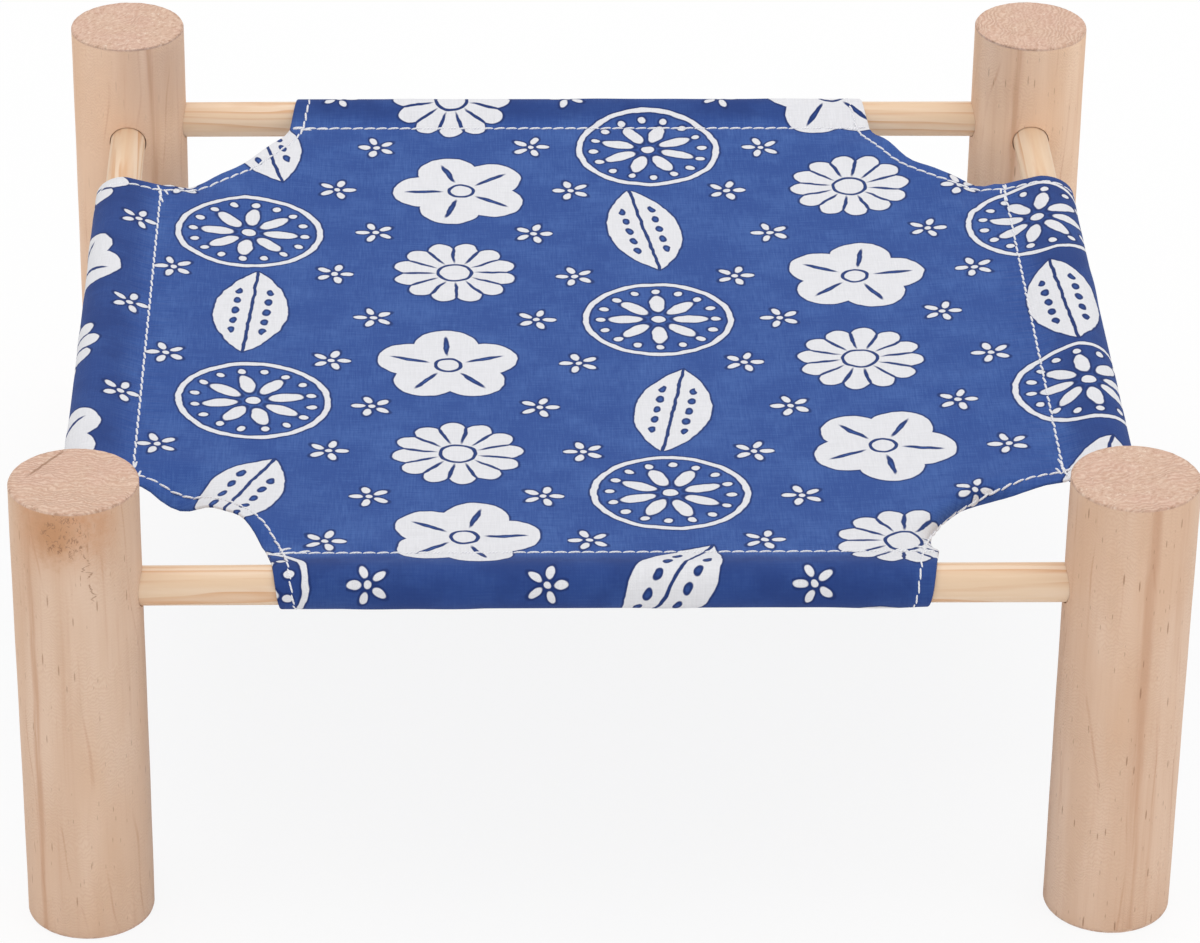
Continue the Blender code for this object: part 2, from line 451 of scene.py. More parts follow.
# %% Let the panel drape
SIM_FRAMES = 40
PANEL_SLACK = -0.0008


def deselect_all():
    """Nothing selected, so that an operator acts only on what is chosen next."""
    for thing in bpy.context.selected_objects:
        thing.select_set(False)


def choose(piece):
    """Selects one piece and makes it the active one."""
    deselect_all()
    piece.select_set(True)
    bpy.context.view_layer.objects.active = piece


def drape(piece):
    """Runs the cloth from its flat start and applies the shape it settles in."""
    cloth = piece.modifiers.new("drape", "CLOTH")
    settings = cloth.settings
    settings.quality = 10
    settings.mass = 0.0006
    settings.tension_stiffness = 30
    settings.compression_stiffness = 30
    settings.shear_stiffness = 12
    settings.bending_stiffness = 0.05
    settings.air_damping = 3
    settings.vertex_group_mass = "sewn"
    settings.shrink_min = PANEL_SLACK
    cloth.point_cache.frame_start = 1
    cloth.point_cache.frame_end = SIM_FRAMES
    for step in range(1, SIM_FRAMES + 1):
        bpy.context.scene.frame_set(step)
    choose(piece)
    bpy.ops.object.modifier_apply(modifier=cloth.name)
    bpy.context.scene.frame_set(1)


drape(sling)
heights = [vert.co.z for vert in sling.data.vertices]
print(f"the panel sags {1000 * (seam_height - min(heights)):.1f} mm")

# %% [markdown]
# Beyond each seam the same cloth goes on as a flap, round its rail and back under the panel,
# where the seam catches it. Its path, seen from its end, is a line up to the rail, an arc round
# the rail, and a line back to the seam, one layer of cloth lower. The left sleeve is a little
# loose, and the right one more so. A flap draws in towards its end, and is never quite smooth.

# %% Plan a sleeve
CLOTH_THICKNESS = 0.4 * MM
LAYER_GAP = 0.06 * MM
SLEEVE_RADIUS = 5.7 * MM
SLEEVE_SLACK = {"front": 0.2 * MM, "left": 1.3 * MM, "rear": 0.3 * MM, "right": 2.6 * MM}
SLEEVE_DROP = 0.1 * MM
ALLOWANCE = 8 * MM
ARC_ROWS = 18
TANGENT_ROWS = 3
ALLOWANCE_ROWS = 4
FLAP_TAPER = 4.0 * MM
TAPER_LENGTH = 30 * MM
HEM_STACK = 12 * MM
RIPPLE = 0.22 * MM
RIPPLE_START = 14 * MM
STACK_RAMP = 4 * MM

layer = CLOTH_THICKNESS + LAYER_GAP


def tangent_angle(point, centre, radius, above):
    """The angle, seen from the centre, at which a line from the point touches the circle."""
    away = Vector(point) - Vector(centre)
    spread = acos(radius / away.length)
    return atan2(away.y, away.x) + (-spread if above else spread)


def sleeve_path(slack):
    """The middle of the cloth round a rail, as distances outwards from the seam and heights.

    A loose sleeve stands off the outer half of its rail as half an ellipse."""
    start = (0, seam_height)
    end = (0, seam_height - layer)
    centre = (SEAM_INSET, rail_height - SLEEVE_DROP)
    first = tangent_angle(start, centre, SLEEVE_RADIUS, True)
    last = tangent_angle(end, centre, SLEEVE_RADIUS, False) - 2 * pi
    angles = [first + (last - first) * step / ARC_ROWS for step in range(ARC_ROWS + 1)]
    arc = []
    for angle in angles:
        reach = SLEEVE_RADIUS + (slack if cos(angle) > 0 else 0)
        arc.append((centre[0] + reach * cos(angle), centre[1] + SLEEVE_RADIUS * sin(angle)))
    path = [start]
    for step in range(1, TANGENT_ROWS):
        path.append(tuple(Vector(start).lerp(Vector(arc[0]), step / TANGENT_ROWS)))
    path += arc
    for step in range(1, TANGENT_ROWS + 1):
        path.append(tuple(Vector(arc[-1]).lerp(Vector(end), step / TANGENT_ROWS)))
    return path


def narrowing(length):
    """How far each end of a flap draws in, at a distance out from its seam."""
    return FLAP_TAPER * min(1.0, length / TAPER_LENGTH)


def end_layers(along):
    """How much deeper a flap lies near its ends, where the hems lie between it and the panel."""
    return 2 * layer * eased((abs(along) - seam_half + HEM_STACK) / STACK_RAMP)


def ripple(along, length, quarters):
    """How far the cloth of a sleeve stands off its path, in shallow folds that run askew."""
    skew = 1000 * along + 260 * length
    folds = sin(skew / 9.1 + quarters) + 0.6 * sin(skew / 4.3 + 2.1 * quarters)
    folds += 0.5 * sin(skew / 23 - quarters)
    return RIPPLE * folds * sin(min(pi, length / RIPPLE_START) / 2)


def flap_row(quarters, row, outward, height, length, under):
    """Moves one row of new points to its place on the path, and notes where it lies when flat."""
    from_rail = Vector((outward - SEAM_INSET, height - rail_height)).normalized()
    for vert, along in row:
        narrowed = along * (1 - narrowing(length) / seam_half)
        off = (1 - under) * max(0.0, ripple(along, length, quarters))
        x, y = turned([(narrowed, seam + outward + off * from_rail.x)], quarters)[0]
        vert.co = (x, y, height + off * from_rail.y - under * end_layers(narrowed))
        x, y = turned([(narrowed, seam + length)], quarters)[0]
        vert[flat_layer] = (x, y, 0)


print(f"the front sleeve's path has {len(sleeve_path(SLEEVE_SLACK['front']))} points")

# %% [markdown]
# The flap is extruded from its seam, one row after another. Every new point knows how far along
# the seam it began, and so finds its place on the path and its place on the flat cloth. All four
# sides are worked out as the far one, and turned to where they belong.

# %% Fold the sleeves round the rails
SIDES = {"right": 3, "front": 2, "left": 1, "rear": 0}


def flat_places(verts, quarters):
    """Where points lie on the flat cloth, turned so that their side is the far one."""
    return turned([vert[flat_layer].xy for vert in verts], 4 - quarters)


def open_edges(mesh, passes):
    """The open edges that pass a test."""
    return [edge for edge in mesh.edges if edge.is_boundary and passes(edge)]


def extrude_row(mesh, edges):
    """Extrudes open edges and pairs each new point with the one that it left."""
    old = {vert for edge in edges for vert in edge.verts}
    made = bmesh.ops.extrude_edge_only(mesh, edges=edges)["geom"]
    pairs = []
    for vert in (part for part in made if isinstance(part, bmesh.types.BMVert)):
        left = [edge.other_vert(vert) for edge in vert.link_edges if edge.other_vert(vert) in old]
        pairs.append((vert, left[0]))
    return pairs, [part for part in made if isinstance(part, bmesh.types.BMEdge)]


cloth = bmesh.new()
cloth.from_mesh(sling.data)
flat_layer = cloth.verts.layers.float_vector["flat"]
flap_length = 0
for side, quarters in SIDES.items():
    def at_seam(edge):
        return all(abs(y - seam) < ON_SEAM for _, y in flat_places(edge.verts, quarters))
    row = open_edges(cloth, at_seam)
    along = {vert: flat_places([vert], quarters)[0][0] for edge in row for vert in edge.verts}
    path = sleeve_path(SLEEVE_SLACK[side])
    length = 0
    for step, (here, there) in enumerate(zip(path, path[1:])):
        length += hypot(there[0] - here[0], there[1] - here[1])
        under = limited((step - len(path) + 2) / TANGENT_ROWS + 1)
        pairs, row = extrude_row(cloth, row)
        along = {vert: along[left] for vert, left in pairs}
        flap_row(quarters, along.items(), *there, length, under)
    flap_length = max(flap_length, length)
print(f"each flap is {1000 * flap_length:.0f} mm long round its rail")

# %% [markdown]
# Every further fold lies under cloth that is there already. So a small helper answers one
# question: where does a spot of the flat cloth lie now, and which way does the cloth face
# there? It looks the spot up among the flattened triangles and carries it over to the same
# triangle of the draped sling.

# %% Find a flat spot on the draped cloth
class Lookup:
    """Finds where a spot of the flat cloth lies on the draped sling."""

    def __init__(self, mesh, layer):
        mesh.normal_update()
        corners = [[loop.vert for loop in loops] for loops in mesh.calc_loop_triangles()]
        self.flat = [[vert[layer].copy() for vert in verts] for verts in corners]
        self.draped = [[vert.co.copy() for vert in verts] for verts in corners]
        self.normals = [[vert.normal.copy() for vert in verts] for verts in corners]
        spots = [spot for triangle in self.flat for spot in triangle]
        triangles = [(3 * t, 3 * t + 1, 3 * t + 2) for t in range(len(corners))]
        self.tree = BVHTree.FromPolygons(spots, triangles)

    def place(self, x, y, depth=0.0):
        """The draped place of a flat spot, at a depth under the cloth's upper face."""
        spot, _, triangle, _ = self.tree.find_nearest(Vector((x, y, 0)))
        place = barycentric_transform(spot, *self.flat[triangle], *self.draped[triangle])
        normal = barycentric_transform(spot, *self.flat[triangle], *self.normals[triangle]).normalized()
        return place - depth * normal, normal


def turn_faces_up(mesh):
    """Makes all faces of the cloth agree, with the panel's printed face up."""
    bmesh.ops.recalc_face_normals(mesh, faces=mesh.faces)
    mesh.normal_update()
    middle = min(mesh.faces, key=lambda face: face.calc_center_median().xy.length)
    if middle.normal.z < 0:
        bmesh.ops.reverse_faces(mesh, faces=mesh.faces)


turn_faces_up(cloth)
on_cloth = Lookup(cloth, flat_layer)
print(f"the middle of the sling lies at {1000 * on_cloth.place(0, 0)[0].z:.1f} mm")

# %% [markdown]
# The end of each flap is caught by the seam, and its last few millimetres, the allowance, run
# on under the panel. They are rows of points extruded from the flap's end, each laid a layer's
# depth below the spot of the panel that it lies under.

# %% Lay the seam allowances
PAST_SLEEVE = seam + 30 * MM
SAME_ROW = 0.01 * MM

for side, quarters in SIDES.items():
    def at_flap_end(edge):
        spots = flat_places(edge.verts, quarters)
        return all(y > PAST_SLEEVE for _, y in spots) and abs(spots[0][1] - spots[1][1]) < SAME_ROW
    edges = open_edges(cloth, at_flap_end)
    starts = {vert: flat_places([vert], quarters)[0] for edge in edges for vert in edge.verts}
    for row in range(1, ALLOWANCE_ROWS + 1):
        pairs, edges = extrude_row(cloth, edges)
        back = ALLOWANCE * row / ALLOWANCE_ROWS
        new_starts = {}
        for vert, left in pairs:
            x, y = starts[left]
            spot = turned([(x, seam - back)], quarters)[0]
            vert.co = on_cloth.place(*spot, layer + end_layers(x))[0]
            vert[flat_layer] = (*turned([(x, y + ALLOWANCE / ALLOWANCE_ROWS)], quarters)[0], 0)
            new_starts[vert] = (x, y + ALLOWANCE / ALLOWANCE_ROWS)
        starts = new_starts
cloth_lookup = Lookup(cloth, flat_layer)
bare_cloth_area = sum(face.calc_area() for face in cloth.faces)
print(f"the cloth without its hems measures {bare_cloth_area:.4f} square metres")

# %% [markdown]
# Every curved edge, and the mouth of every sleeve, is turned under as a narrow hem. Its rows
# run in a small round turn below the edge and then flat under the cloth, and each row is
# written as how far in from the edge and how deep it lies, in millimetres.

# %% Turn the hems
HEM_FOLD = [(-0.15, 0.06), (-0.2, 0.24), (-0.12, 0.42), (0.25, 0.5), (1.6, 0.5), (3.4, 0.46), (5.0, 0.47)]
HEM_TURN = 0.6
FIRST_TURN = 0.1


def rim_direction(vert):
    """The direction into the cloth, across its open edge, when flat."""
    x, y = vert[flat_layer].xy
    along = [edge.other_vert(vert)[flat_layer].xy - vert[flat_layer].xy
             for edge in vert.link_edges if edge.is_boundary]
    tangent = (along[0] - along[-1]) if len(along) > 1 else along[0]
    inward = Vector((-tangent.y, tangent.x)).normalized()
    towards_middle = Vector((-x, -y))
    side_x = abs(x) > abs(y)
    if max(abs(x), abs(y)) > seam + ON_SEAM:
        towards_middle = Vector((0, -y)) if side_x else Vector((-x, 0))
    return inward if inward.dot(towards_middle) > 0 else -inward


def on_rim(edge):
    """Tells the curved edges and the sleeves' mouths from the edges of the seam allowances."""
    first, second = [vert[flat_layer].xy for vert in edge.verts]
    far = max(max(abs(spot.x), abs(spot.y)) for spot in (first, second))
    across = abs(max(abs(first.x), abs(first.y)) - max(abs(second.x), abs(second.y)))
    return far < PAST_SLEEVE or across > ON_SEAM


rim = open_edges(cloth, on_rim)
rim_verts = {vert for edge in rim for vert in edge.verts}
origin = {vert: (vert[flat_layer].xy.copy(), rim_direction(vert)) for vert in rim_verts}
for distance, depth in HEM_FOLD:
    pairs, rim = extrude_row(cloth, rim)
    new_origin = {}
    for vert, left in pairs:
        start, inward = origin[left]
        spot = start + inward * distance * MM
        place, normal = cloth_lookup.place(*spot, depth * MM)
        if distance < 0:
            edge_place, _ = cloth_lookup.place(*start)
            inner_place, _ = cloth_lookup.place(*(start + inward * MM))
            place += (edge_place - inner_place).normalized() * -distance * MM
        vert.co = place
        flat_spot = start - inward * max(FIRST_TURN, distance + HEM_TURN) * MM
        vert[flat_layer] = (*flat_spot, 0)
        new_origin[vert] = (start, inward)
    origin = new_origin
turn_faces_up(cloth)
for face in cloth.faces:
    face.smooth = True
cloth.to_mesh(sling.data)
print(f"{len(cloth.faces)} faces in the sling")

# %% [markdown]
# So far the cloth is a sheet with no thickness. Solidify gives it that of plain cotton, half
# to each side, and marks the faces of the reverse, which get a finish of their own.

# %% Give the cloth its thickness
for _ in range(2):
    sling.data.materials.append(None)
choose(sling)
thickness = sling.modifiers.new("thickness", "SOLIDIFY")
thickness.thickness = CLOTH_THICKNESS
thickness.offset = 0
thickness.use_quality_normals = True
thickness.material_offset = 1
bpy.ops.object.modifier_apply(modifier=thickness.name)
reverse = sum(polygon.material_index == 1 for polygon in sling.data.polygons)
print(f"{len(sling.data.polygons)} faces with both sides of the cloth, {reverse} on the reverse")

# %% [markdown]
# The cotton is printed blue round bare white motifs, as in old stencil and resist printing.
# A motif is drawn in the shader as a distance: below zero inside its lines, and above zero
# outside them, so that shapes are joined with MINIMUM and cut out of each other with MAXIMUM.
# The distances are in millimetres on the flat cloth, and so the print bends with the sleeves.

# %% Draw shapes as distances
def absolute(value):
    return value.math("ABSOLUTE")


def joined(*shapes):
    """The shape that holds all the shapes."""
    result = shapes[0]
    for shape in shapes[1:]:
        result = result.math("MINIMUM", shape)
    return result


def without(shape, *cuts):
    """The shape with other shapes cut out of it."""
    result = shape
    for cut in cuts:
        result = result.math("MAXIMUM", 0 - cut)
    return result


def length_of(x, y):
    return (x * x + y * y).math("SQRT")


def folded(angle, parts):
    """An angle folded into one of so many equal parts, with 0 in the part's middle."""
    steps = angle * (parts / (2 * pi))
    return (steps - steps.math("ROUND")) * (2 * pi / parts)


def petals(radius, angle, parts, centre, half_length, half_width):
    """A ring of ellipses that point away from the middle."""
    part = folded(angle, parts)
    along = (radius * part.math("COSINE") - centre) / half_length
    across = radius * part.math("SINE") / half_width
    return (length_of(along, across) - 1) * half_width


print("shapes can now be joined and cut")

# %% [markdown]
# The print has four large motifs, a roundel, a blossom, a leaf and a daisy, in staggered
# columns, with small posies between them. One motif is worked out at the middle of each cell
# of the pattern. Its cell's number picks the motif, turns it and moves it a little, so that no
# two look quite alike. All sizes are in millimetres.

# %% Draw the print
COLUMN = 55.0
ROW = 49.0
PRINT_UNEVEN = 2.0
LINE = 0.5
ROUNDEL_RING = 19.6
RING_LINE = 0.8
BLOSSOM_EYE = 3.4
DAISY_EYE = 4.6
LEAF_CURVE = 31.4
LEAF_OFFSET = 21.4
SEED_PITCH = 5.6
FAR_AWAY = 1000


def roundel(radius, angle):
    """A ring round a star of seeds and a circle of dots."""
    return joined(
        absolute(radius - ROUNDEL_RING) - RING_LINE,
        petals(radius, angle, 8, 8.8, 4.6, 2.0),
        petals(radius, angle, 16, 15.6, 1.25, 1.05),
        radius - 1.9,
    )


def blossom(radius, angle):
    """Five broad petals, each with a vein, and a nick between every two."""
    return without(
        joined(petals(radius, angle, 5, 10.2, 8.9, 8.6), radius - 9),
        petals(radius, angle, 5, 10.5, 5.2, 0.8),
        petals(radius, angle + pi / 5, 5, 18.2, 2.6, 1.2),
        absolute(radius - BLOSSOM_EYE) - LINE,
    )


def leaf(u, v, turn):
    """Two arcs that meet in points, with a midrib and a row of seeds on each side of it."""
    along = u * turn.math("COSINE") + v * turn.math("SINE")
    across = absolute(v * turn.math("COSINE") - u * turn.math("SINE"))
    step = along / SEED_PITCH
    seed_along = (step - step.math("ROUND")) * SEED_PITCH
    blade = length_of(along, across + LEAF_OFFSET) - LEAF_CURVE
    seeds = (length_of(seed_along / 1.9, (across - 4.2) / 1.1) - 1) * 1.1
    return without(blade, across - LINE, seeds.math("MAXIMUM", blade + 2.6))


def daisy(radius, angle):
    """Twelve narrow petals round an eye."""
    return without(
        joined(petals(radius, angle, 12, 12.6, 4.2, 3.4), radius - 12.5),
        petals(radius, angle + pi / 12, 12, 10.6, 4.9, 0.55),
        absolute(radius - DAISY_EYE) - LINE,
    )


def printed_motifs(x, y):
    """How far a spot lies from the nearest white motif, in millimetres."""
    column = (x / COLUMN).math("FLOOR")
    moved = y - column.math("FLOORED_MODULO", 2) * (ROW / 2)
    row = (moved / ROW).math("FLOOR")
    u = x - (column + 0.5) * COLUMN
    v = moved - (row + 0.5) * ROW
    kind = (column + row * 2).math("FLOORED_MODULO", 4)
    turn = column * 2.39 + row * 1.73
    small_u, small_v = absolute(u) - 0.4 * COLUMN, absolute(v) - 0.5 * ROW
    u = u + (column * 3.1 + row * 1.7).math("SINE") * PRINT_UNEVEN
    v = v + (column * 1.3 + row * 4.3).math("SINE") * PRINT_UNEVEN
    radius = length_of(u, v)
    angle = v.math("ARCTAN2", u) + turn
    motifs = [roundel(radius, angle), blossom(radius, angle), leaf(u, v, turn), daisy(radius, angle)]
    chosen = []
    for number, motif in enumerate(motifs):
        chosen.append(motif + (1 - kind.math("COMPARE", number, 0.5)) * FAR_AWAY)
    small_radius = length_of(small_u, small_v)
    small_angle = small_v.math("ARCTAN2", small_u)
    posy = joined(petals(small_radius, small_angle, 5, 3.5, 1.8, 1.0), small_radius - 0.9)
    return joined(*chosen, posy)


print(f"the motifs stand {COLUMN:.0f} by {ROW:.0f} mm apart")

# %% [markdown]
# The dye is never even. Broad mottling, thicker threads and pale flecks vary the blue, and
# beside each motif it has crept up to a dark fringe. On the sleeves the blue is deepened in
# patches, and this is painted shade. The weave, the dimples of the stitches and the gathers
# beside the seams are too fine for the mesh, and so they are bumps. On the reverse the print
# only half shows through.

# %% Dye and weave the cotton
INDIGO = (0.034, 0.084, 0.300)
WORN_INDIGO = (0.078, 0.165, 0.440)
DEEP_INDIGO = (0.012, 0.030, 0.135)
# Painted shade: the deeper blue that darkens the sleeves.
SLEEVE_PAINTED_SHADE = (0.020, 0.048, 0.195)
BARE_COTTON = (0.80, 0.80, 0.83)
REVERSE_HAZE = (0.42, 0.47, 0.62)
REVERSE_SHOWN = 0.8
THREAD_PITCH = 0.55
PRINT_SHIFT = (9.0, 14.0)
PRINT_WOBBLE = 1.1
HEM_STITCH = 3.4 * MM


def cotton(name, shown):
    """The printed cotton, or its paler reverse where the print only shows through."""
    finish = Finish(name)
    place = finish.node("Attribute", {"attribute_name": "flat"}, {}, "Vector")
    millimetres = finish.stretch(place, (1000, 1000, 1000), shift=(*PRINT_SHIFT, 0))
    wobble = finish.noise(millimetres, 0.24, 1.5, output="Color")
    wobble_x, wobble_y, _ = finish.split(wobble)
    x, y, _ = finish.split(millimetres)
    wobble_x = (wobble_x - 0.5) * PRINT_WOBBLE
    wobble_y = (wobble_y - 0.5) * PRINT_WOBBLE
    distance = printed_motifs(x + wobble_x, y + wobble_y)

    mottle = finish.fade(finish.noise(millimetres, 0.06, 5.0, 0.6), 0.35, 0.68)
    slubs_x = finish.grain(millimetres, (0.12, 2.4, 1), 3.0, 0.65)
    slubs_y = finish.grain(millimetres, (2.4, 0.12, 1), 3.0, 0.65)
    slubs = slubs_x + slubs_y - 1
    flecks = finish.fade(finish.noise(millimetres, 1.3, 3.0, 0.7), 0.60, 0.78)
    blue = finish.blend(mottle * 0.40 + slubs * 1.3, INDIGO, WORN_INDIGO)
    blue = finish.blend(flecks * 0.40, blue, WORN_INDIGO)
    away = finish.split(finish.vectors("ABSOLUTE", place))
    on_sleeve = finish.fade(away[0].math("MAXIMUM", away[1]), seam, seam + 8 * MM)
    # Painted shade on the sleeves: their blue is deepened unevenly, in patches of noise.
    sleeve_shade_patches = finish.patches(millimetres, (0.05, 0.05, 1), 0.40, 0.62, 4.0, 0.6)
    blue = finish.blend(on_sleeve * (sleeve_shade_patches * 0.32 + 0.52), blue, SLEEVE_PAINTED_SHADE)
    grain = finish.fade(slubs, -0.35, 0.35)
    white = finish.blend(grain, tuple(0.90 * c for c in BARE_COTTON), BARE_COTTON)
    fringe = 1 - finish.fade(distance, 0.35, 0.8)
    inked = finish.blend(fringe * 0.8, blue, DEEP_INDIGO)
    bare = 1 - finish.fade(distance, -0.12, 0.14)
    colour = finish.blend(bare * shown, inked, white)
    if shown < 1:
        colour = finish.blend(0.28, colour, REVERSE_HAZE)

    warp = (x * (2 * pi / THREAD_PITCH)).math("SINE")
    weft = (y * (2 * pi / THREAD_PITCH)).math("SINE")
    weave = warp * weft + slubs * 2.5
    puckers = seam_puckers(finish, place)
    plain = {"Roughness": 0.88, "Specular IOR Level": 0.12, "Sheen Weight": 0.05, "Sheen Roughness": 0.5}
    finish.coat(colour, weave * 0.03 + puckers, 0.8, plain)
    return finish


def seam_puckers(finish, place):
    """The dimples that stitches pull into the cloth, and the gathers that run away from them."""
    x, y, _ = finish.split(finish.stretch(place, (1000, 1000, 1000)))
    away_x = absolute(absolute(x) - 1000 * seam)
    away_y = absolute(absolute(y) - 1000 * seam)
    across, ahead = 1000 * corner - absolute(x), 1000 * corner - absolute(y)
    hem = length_of(across, ahead) - 1000 * (CUT_RADIUS + HEM_STITCH)
    dent = 0 - (1 - finish.fade(joined(away_x, away_y, absolute(hem)), 0.2, 1.6)) * 0.22
    run_x = finish.grain(place, (60, 420, 1))
    run_y = finish.grain(place, (420, 60, 1))
    gathers_x = (run_x - 0.5) * (1 - finish.fade(away_x, 0.5, 9))
    gathers_y = (run_y - 0.5) * (1 - finish.fade(away_y, 0.5, 9))
    return dent + (gathers_x + gathers_y) * 1.3


printed_face = cotton("printed indigo cotton", 1.0)
reverse_face = cotton("reverse of the cotton", REVERSE_SHOWN)
sling.data.materials[0] = printed_face.material
sling.data.materials[1] = reverse_face.material
print(f"{len(printed_face.tree.nodes)} nodes draw the print and the weave")

# %% [markdown]
# White thread runs along the four seams and round every hem. One stitch is modelled, and then
# copied hundreds of times, so it has only a few dozen faces: a short length of thread, plump
# in the middle, whose two ends dive into the cloth.

# %% Make one stitch
THREAD_RADIUS = 0.31 * MM
STITCH_PITCH = 3.4 * MM
STITCH_LENGTH = 3.7 * MM
STITCH_DIP = 0.34 * MM
STITCH_ROWS = 6
STITCH_SIDES = 6


def cut_rows(piece, places, direction):
    """A piece's mesh, cut across at places along a direction, so that it can be bent or swelled."""
    mesh = bmesh.new()
    mesh.from_mesh(piece.data)
    for place in places:
        whole = mesh.verts[:] + mesh.edges[:] + mesh.faces[:]
        bmesh.ops.bisect_plane(mesh, geom=whole, plane_co=place * direction, plane_no=direction)
    return mesh


deselect_all()
bpy.ops.mesh.primitive_cylinder_add(
    vertices=STITCH_SIDES,
    radius=THREAD_RADIUS,
    depth=STITCH_LENGTH,
    rotation=(0, pi / 2, 0),
    end_fill_type="TRIFAN",
)
stitch = bpy.context.object
bpy.ops.object.transform_apply(rotation=True)
cuts = [STITCH_LENGTH * (row / STITCH_ROWS - 0.5) for row in range(1, STITCH_ROWS)]
thread = cut_rows(stitch, cuts, Vector((1, 0, 0)))
for vert in thread.verts:
    end = abs(2 * vert.co.x / STITCH_LENGTH)
    plump = 1 - 0.5 * end**4
    vert.co.y *= plump
    vert.co.z = vert.co.z * plump - STITCH_DIP * end**3
thread.verts.ensure_lookup_table()
stitch_points = [vert.co.copy() for vert in thread.verts]
stitch_faces = [[vert.index for vert in face.verts] for face in thread.faces]
thread.free()
bpy.data.objects.remove(stitch)
print(f"one stitch of {len(stitch_faces)} faces")

# %% [markdown]
# Sewing thread is two strands twisted together. The twist is drawn round and along each stitch,
# on coordinates that every copy carries over from the one stitch as an attribute. The grooves
# between the strands are painted grey as shade, broken up by random fuzz.

# %% Spin the thread
# Painted shade: the grey of the grooves between the two strands.
THREAD_GROOVE_SHADE = (0.72, 0.72, 0.77)
THREAD_WHITE = (0.90, 0.90, 0.92)
TWIST_LENGTH = 0.9


def spun_thread(name):
    """White sewing thread: two strands twisted together, a little fuzzy, with painted shade in the grooves.
    """
    finish = Finish(name)
    strand = finish.node("Attribute", {"attribute_name": "strand"}, {}, "Vector")
    along, y, z = finish.split(finish.stretch(strand, (1000, 1000, 1000)))
    twist = (z.math("ARCTAN2", y) * 2 + along * (2 * pi / TWIST_LENGTH)).math("SINE")
    place = finish.stretch(finish.node("TexCoord", {}, {}, "Object"), (1000, 1000, 1000))
    fuzz = finish.noise(place, 2.4, 3.0, 0.7)
    # Painted shade: grey along the grooves of the twist, mixed with random fuzz.
    shade = finish.fade(twist + (fuzz - 0.5) * 2.5, -1.2, 0.6)
    colour = finish.blend(shade, THREAD_GROOVE_SHADE, THREAD_WHITE)
    finish.coat(colour, twist * 0.05 + fuzz * 0.06, 0.7, {"Roughness": 0.8, "Specular IOR Level": 0.2})
    return finish


thread_finish = spun_thread("white thread")
print(f"the thread turns once in {2 * TWIST_LENGTH:.1f} mm")

# %% [markdown]
# A line of stitching is a path on the flat cloth. It is walked at the stitches' pitch, carried
# over to the draped sling by the same lookup as the folds, and each stitch is set on it with a
# small slant, as a lockstitch has. All the stitches of a line, on both faces of the cloth, are
# one piece.

# %% Lay stitches along a line
SLANT = radians(7)


def along_path(spots, pitch):
    """Evenly spaced places along a line of flat spots."""
    walked, result, due = 0.0, [spots[0]], pitch
    for here, there in zip(spots, spots[1:]):
        step = hypot(there[0] - here[0], there[1] - here[1])
        while walked + step >= due:
            share = (due - walked) / step
            result.append((here[0] + (there[0] - here[0]) * share, here[1] + (there[1] - here[1]) * share))
            due += pitch
        walked += step
    return result


def sew(name, lines):
    """Lays stitches along lines of flat spots and joins them into one piece."""
    points, faces = [], []
    for line, depth in lines:
        facing = 1 if depth < 0 else -1
        for number, (here, there) in enumerate(zip(line, line[1:])):
            start, start_up = cloth_lookup.place(*here, depth)
            end, end_up = cloth_lookup.place(*there, depth)
            normal = (start_up + end_up).normalized() * facing
            run = (end - start).normalized()
            side = normal.cross(run).normalized()
            lean = SLANT * (1 + 0.5 * sin(2.7 * number))
            run = cos(lean) * run + sin(lean) * side
            side = normal.cross(run)
            middle = (start + end) / 2
            first = len(points)
            points += [middle + p.x * run + p.y * side + p.z * normal for p in stitch_points]
            faces += [[first + index for index in face] for face in stitch_faces]
    mesh = bpy.data.meshes.new(name)
    mesh.from_pydata(points, [], faces)
    strand = mesh.attributes.new("strand", "FLOAT_VECTOR", "POINT")
    for number in range(len(points)):
        strand.data[number].vector = stitch_points[number % len(stitch_points)]
    piece = bpy.data.objects.new(name, mesh)
    bpy.context.scene.collection.objects.link(piece)
    for polygon in mesh.polygons:
        polygon.use_smooth = True
    thread_finish.wear(piece)
    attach(piece, "root")
    return piece


print(f"stitches lean by about {SLANT * 180 / pi:.0f} degrees")

# %% [markdown]
# Each seam is sewn along its whole length and tacked back at both ends, where a little thread
# is left hanging over. The seam's lower thread shows under the panel, on the allowance. Each
# hem is one line, from one sleeve's mouth round the corner bite to the next sleeve's mouth.

# %% Sew the seams and hems
STITCH_HEIGHT = CLOTH_THICKNESS / 2 + 0.10 * MM
TACK_LENGTH = 11 * MM
TACK_SPREAD = 1.3 * MM
LOOSE_END = 4.5 * MM
LINE_MARGIN = 0.5 * MM
LOOSE_START = 2 * MM
UNDER_INSET = 0.8 * MM
UNDER_LIFT = 0.1 * MM
LINE_STEPS = 40


def hem_line():
    """The stitch line of the far right hem, from one sleeve's mouth round to the other's."""
    radius = CUT_RADIUS + HEM_STITCH
    half = line_half(radius)
    lengths = [flap_length * step / LINE_STEPS for step in range(1, LINE_STEPS + 1)]
    one_end = [(seam + length, half - narrowing(length)) for length in reversed(lengths)]
    other_end = [(half - narrowing(length), seam + length) for length in lengths]
    return one_end + arc_about_post(radius, LINE_STEPS) + other_end


